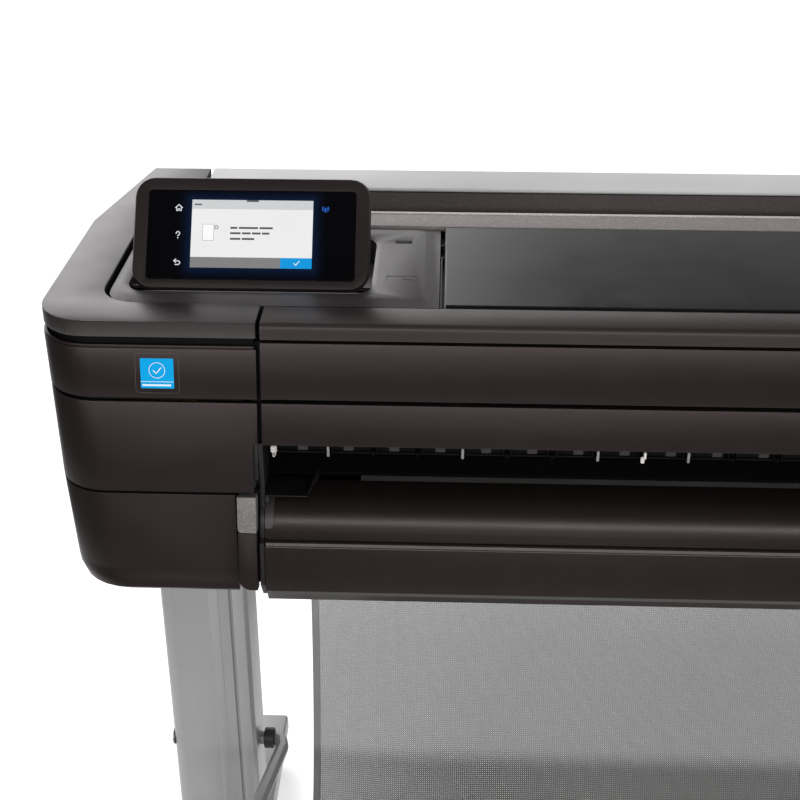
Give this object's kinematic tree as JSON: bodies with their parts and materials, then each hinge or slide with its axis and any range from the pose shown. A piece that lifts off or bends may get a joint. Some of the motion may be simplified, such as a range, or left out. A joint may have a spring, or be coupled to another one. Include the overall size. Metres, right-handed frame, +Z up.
{
  "type": "large format plotter",
  "caption": "Wide-format roll plotter on a wheeled stand, with a tilting touch panel, smoked lid, curved roll cover and media bin.",
  "frame": {"origin": "on the floor, at the centre of the stand's footprint", "axes": "+Z up, +X to the right along the carriage travel, -Y to the front where the paper comes out"},
  "size_m": [1.403, 0.583, 0.9587],
  "materials": {
    "dark_cover": "satin moulded, very dark warm grey with a fine metallic fleck",
    "bronze_cap": "fine-grained metallic warm grey",
    "deck": "fine-grained metallic mid grey",
    "pale_flap": "smooth pale grey",
    "panel_housing": "satin near-black",
    "touch_glass": "polished black touch glass",
    "window_glass": "smoked clear sheet",
    "latch": "speckled silver grey",
    "stand_paint": "satin silver paint",
    "caster_plastic": "moulded black",
    "caster_wheel": "matte black tread",
    "bin_mesh": "open woven grey mesh",
    "steel": "zinc-plated sheet and rod",
    "black_plastic": "moulded black",
    "belt_rubber": "toothed black belt",
    "roller_rubber": "ground rubber",
    "grey_roller": "moulded grey",
    "paper": "uncoated white paper",
    "ink_cyan": "moulded",
    "ink_magenta": "moulded",
    "ink_yellow": "moulded",
    "ink_black": "moulded"
  },
  "bodies": {
    "machine": {"left_upper_cover": "dark_cover", "right_upper_cover": "dark_cover", "right_middle_cover": "dark_cover", "left_lower_cover": "dark_cover", "right_lower_cover": "dark_cover", "front_panel_upper": "dark_cover", "front_panel_lower": "dark_cover", "rear_cover": "dark_cover", "left_top_cap": "bronze_cap", "right_top_cap": "bronze_cap", "console_deck": "deck", "rear_deck": "deck", "leg_left": "stand_paint", "leg_right": "stand_paint", "foot_left": "stand_paint", "foot_right": "stand_paint", "cross_brace": "stand_paint", "bin_rear_rod": "stand_paint", "bin_front_frame": "stand_paint", "bin_fabric": "bin_mesh", "chassis_tray": "steel", "left_side_plate": "steel", "right_side_plate": "steel", "guide_rail": "steel", "platen": "black_plastic", "power_inlet": "black_plastic", "drive_belt": "belt_rubber"},
    "control_panel": {"control_panel_housing": "panel_housing", "touch_glass": "touch_glass"},
    "window_lid": {"window_frame": "dark_cover", "window_glass": "window_glass"},
    "ink_door": {"ink_door": "dark_cover"},
    "roll_cover": {"roll_cover": "dark_cover"},
    "left_latch": {"left_cover_latch": "latch"},
    "right_latch": {"right_cover_latch": "latch"},
    "sheet_flap": {"sheet_support_flap": "pale_flap"},
    "power_switch": {"power_switch": "black_plastic"},
    "carriage": {"carriage": "black_plastic"},
    "printhead_latch": {"printhead_latch": "latch"},
    "drive_pulley": {"drive_pulley": "steel"},
    "idler_pulley": {"idler_pulley": "steel"},
    "feed_roller": {"feed_roller": "roller_rubber"},
    "pinch_roller": {"pinch_roller": "grey_roller"},
    "star_wheels": {"star_wheel_shaft": "steel"},
    "roll_spindle": {"spindle": "black_plastic", "paper_roll": "paper"},
    "cutter": {"cutter": "black_plastic"},
    "service_station": {"service_station": "black_plastic"},
    "ink_cyan": {"ink_cartridge_cyan": "ink_cyan"},
    "ink_magenta": {"ink_cartridge_magenta": "ink_magenta"},
    "ink_yellow": {"ink_cartridge_yellow": "ink_yellow"},
    "ink_black": {"ink_cartridge_black": "ink_black"},
    "caster_front_left_swivel": {"caster_front_left_fork": "caster_plastic"},
    "caster_front_left_wheel": {"caster_front_left_wheel": "caster_wheel"},
    "caster_front_right_swivel": {"caster_front_right_fork": "caster_plastic"},
    "caster_front_right_wheel": {"caster_front_right_wheel": "caster_wheel"},
    "caster_rear_left_swivel": {"caster_rear_left_fork": "caster_plastic"},
    "caster_rear_left_wheel": {"caster_rear_left_wheel": "caster_wheel"},
    "caster_rear_right_swivel": {"caster_rear_right_fork": "caster_plastic"},
    "caster_rear_right_wheel": {"caster_rear_right_wheel": "caster_wheel"}
  },
  "joints": [
    {"name": "control_panel_tilt", "type": "hinge", "parent": "machine", "child": "control_panel", "pos_m": [-0.546, -0.1231, 0.881], "axis": [-1, 0, 0], "range_deg": [-16, 54]},
    {"name": "window_lid_hinge", "type": "hinge", "parent": "machine", "child": "window_lid", "pos_m": [0, -0.003, 0.8895], "axis": [-1, 0, 0], "range_deg": [0, 68]},
    {"name": "ink_door_hinge", "type": "hinge", "parent": "machine", "child": "ink_door", "pos_m": [-0.6885, -0.195, 0.795], "axis": [0, 0, -1], "range_deg": [0, 110]},
    {"name": "roll_cover_hinge", "type": "hinge", "parent": "machine", "child": "roll_cover", "pos_m": [0, -0.19, 0.6515], "axis": [1, 0, 0], "range_deg": [0, 70]},
    {"name": "left_latch_pivot", "type": "hinge", "parent": "machine", "child": "left_latch", "pos_m": [-0.5416, -0.24127, 0.686], "axis": [1, 0, 0], "range_deg": [0, 14], "stiffness_Nm_per_rad": 0.4, "springref_deg": -5.73},
    {"name": "right_latch_pivot", "type": "hinge", "parent": "machine", "child": "right_latch", "pos_m": [0.5416, -0.24127, 0.686], "axis": [1, 0, 0], "range_deg": [0, 14], "stiffness_Nm_per_rad": 0.4, "springref_deg": -5.73},
    {"name": "sheet_flap_hinge", "type": "hinge", "parent": "machine", "child": "sheet_flap", "pos_m": [0, 0.148, 0.89], "axis": [-1, 0, 0], "range_deg": [0, 100]},
    {"name": "power_switch_rocker", "type": "hinge", "parent": "machine", "child": "power_switch", "pos_m": [-0.459, 0.147, 0.71], "axis": [1, 0, 0], "range_deg": [0, 12]},
    {"name": "carriage_travel", "type": "slide", "parent": "machine", "child": "carriage", "axis": [-1, 0, 0], "range_m": [0, 1.05]},
    {"name": "printhead_latch_pivot", "type": "hinge", "parent": "carriage", "child": "printhead_latch", "pos_m": [0.595, -0.1165, 0.8408], "axis": [-1, 0, 0], "range_deg": [0, 45]},
    {"name": "drive_pulley_spin", "type": "hinge", "parent": "machine", "child": "drive_pulley", "pos_m": [0.652, -0.038, 0.83], "axis": [0, 1, 0], "continuous": true},
    {"name": "idler_pulley_spin", "type": "hinge", "parent": "machine", "child": "idler_pulley", "pos_m": [-0.515, -0.038, 0.83], "axis": [0, 1, 0], "continuous": true},
    {"name": "feed_roller_spin", "type": "hinge", "parent": "machine", "child": "feed_roller", "pos_m": [0, -0.07, 0.7545], "axis": [1, 0, 0], "continuous": true},
    {"name": "pinch_roller_spin", "type": "hinge", "parent": "machine", "child": "pinch_roller", "pos_m": [0, -0.07, 0.7704], "axis": [1, 0, 0], "continuous": true},
    {"name": "star_wheel_spin", "type": "hinge", "parent": "machine", "child": "star_wheels", "pos_m": [0, -0.196, 0.7735], "axis": [1, 0, 0], "continuous": true},
    {"name": "roll_spindle_spin", "type": "hinge", "parent": "machine", "child": "roll_spindle", "pos_m": [0, -0.141, 0.703], "axis": [1, 0, 0], "continuous": true},
    {"name": "cutter_travel", "type": "slide", "parent": "machine", "child": "cutter", "axis": [1, 0, 0], "range_m": [0, 1]},
    {"name": "service_station_lift", "type": "slide", "parent": "machine", "child": "service_station", "axis": [0, 0, 1], "range_m": [0, 0.006]},
    {"name": "ink_cyan_eject", "type": "slide", "parent": "machine", "child": "ink_cyan", "axis": [0, -1, 0], "range_m": [0, 0.01]},
    {"name": "ink_magenta_eject", "type": "slide", "parent": "machine", "child": "ink_magenta", "axis": [0, -1, 0], "range_m": [0, 0.01]},
    {"name": "ink_yellow_eject", "type": "slide", "parent": "machine", "child": "ink_yellow", "axis": [0, -1, 0], "range_m": [0, 0.01]},
    {"name": "ink_black_eject", "type": "slide", "parent": "machine", "child": "ink_black", "axis": [0, -1, 0], "range_m": [0, 0.01]},
    {"name": "caster_front_left_swivel", "type": "hinge", "parent": "machine", "child": "caster_front_left_swivel", "pos_m": [-0.6215, -0.25, 0.0535], "axis": [0, 0, 1], "continuous": true},
    {"name": "caster_front_left_roll", "type": "hinge", "parent": "caster_front_left_swivel", "child": "caster_front_left_wheel", "pos_m": [-0.6215, -0.238, 0.025], "axis": [1, 0, 0], "continuous": true},
    {"name": "caster_front_right_swivel", "type": "hinge", "parent": "machine", "child": "caster_front_right_swivel", "pos_m": [0.6215, -0.25, 0.0535], "axis": [0, 0, 1], "continuous": true},
    {"name": "caster_front_right_roll", "type": "hinge", "parent": "caster_front_right_swivel", "child": "caster_front_right_wheel", "pos_m": [0.6215, -0.238, 0.025], "axis": [1, 0, 0], "continuous": true},
    {"name": "caster_rear_left_swivel", "type": "hinge", "parent": "machine", "child": "caster_rear_left_swivel", "pos_m": [-0.6215, 0.25, 0.0535], "axis": [0, 0, 1], "continuous": true},
    {"name": "caster_rear_left_roll", "type": "hinge", "parent": "caster_rear_left_swivel", "child": "caster_rear_left_wheel", "pos_m": [-0.6215, 0.262, 0.025], "axis": [1, 0, 0], "continuous": true},
    {"name": "caster_rear_right_swivel", "type": "hinge", "parent": "machine", "child": "caster_rear_right_swivel", "pos_m": [0.6215, 0.25, 0.0535], "axis": [0, 0, 1], "continuous": true},
    {"name": "caster_rear_right_roll", "type": "hinge", "parent": "caster_rear_right_swivel", "child": "caster_rear_right_wheel", "pos_m": [0.6215, 0.262, 0.025], "axis": [1, 0, 0], "continuous": true}
  ],
  "couplings": [
    {"joint": "drive_pulley_spin", "follows": "carriage_travel", "rad_per_m": 85.47},
    {"joint": "idler_pulley_spin", "follows": "carriage_travel", "rad_per_m": 85.47},
    {"joint": "pinch_roller_spin", "follows": "feed_roller_spin", "ratio": -2.1},
    {"joint": "star_wheel_spin", "follows": "feed_roller_spin", "ratio": -1.909},
    {"joint": "roll_spindle_spin", "follows": "feed_roller_spin", "ratio": 0.236}
  ]
}
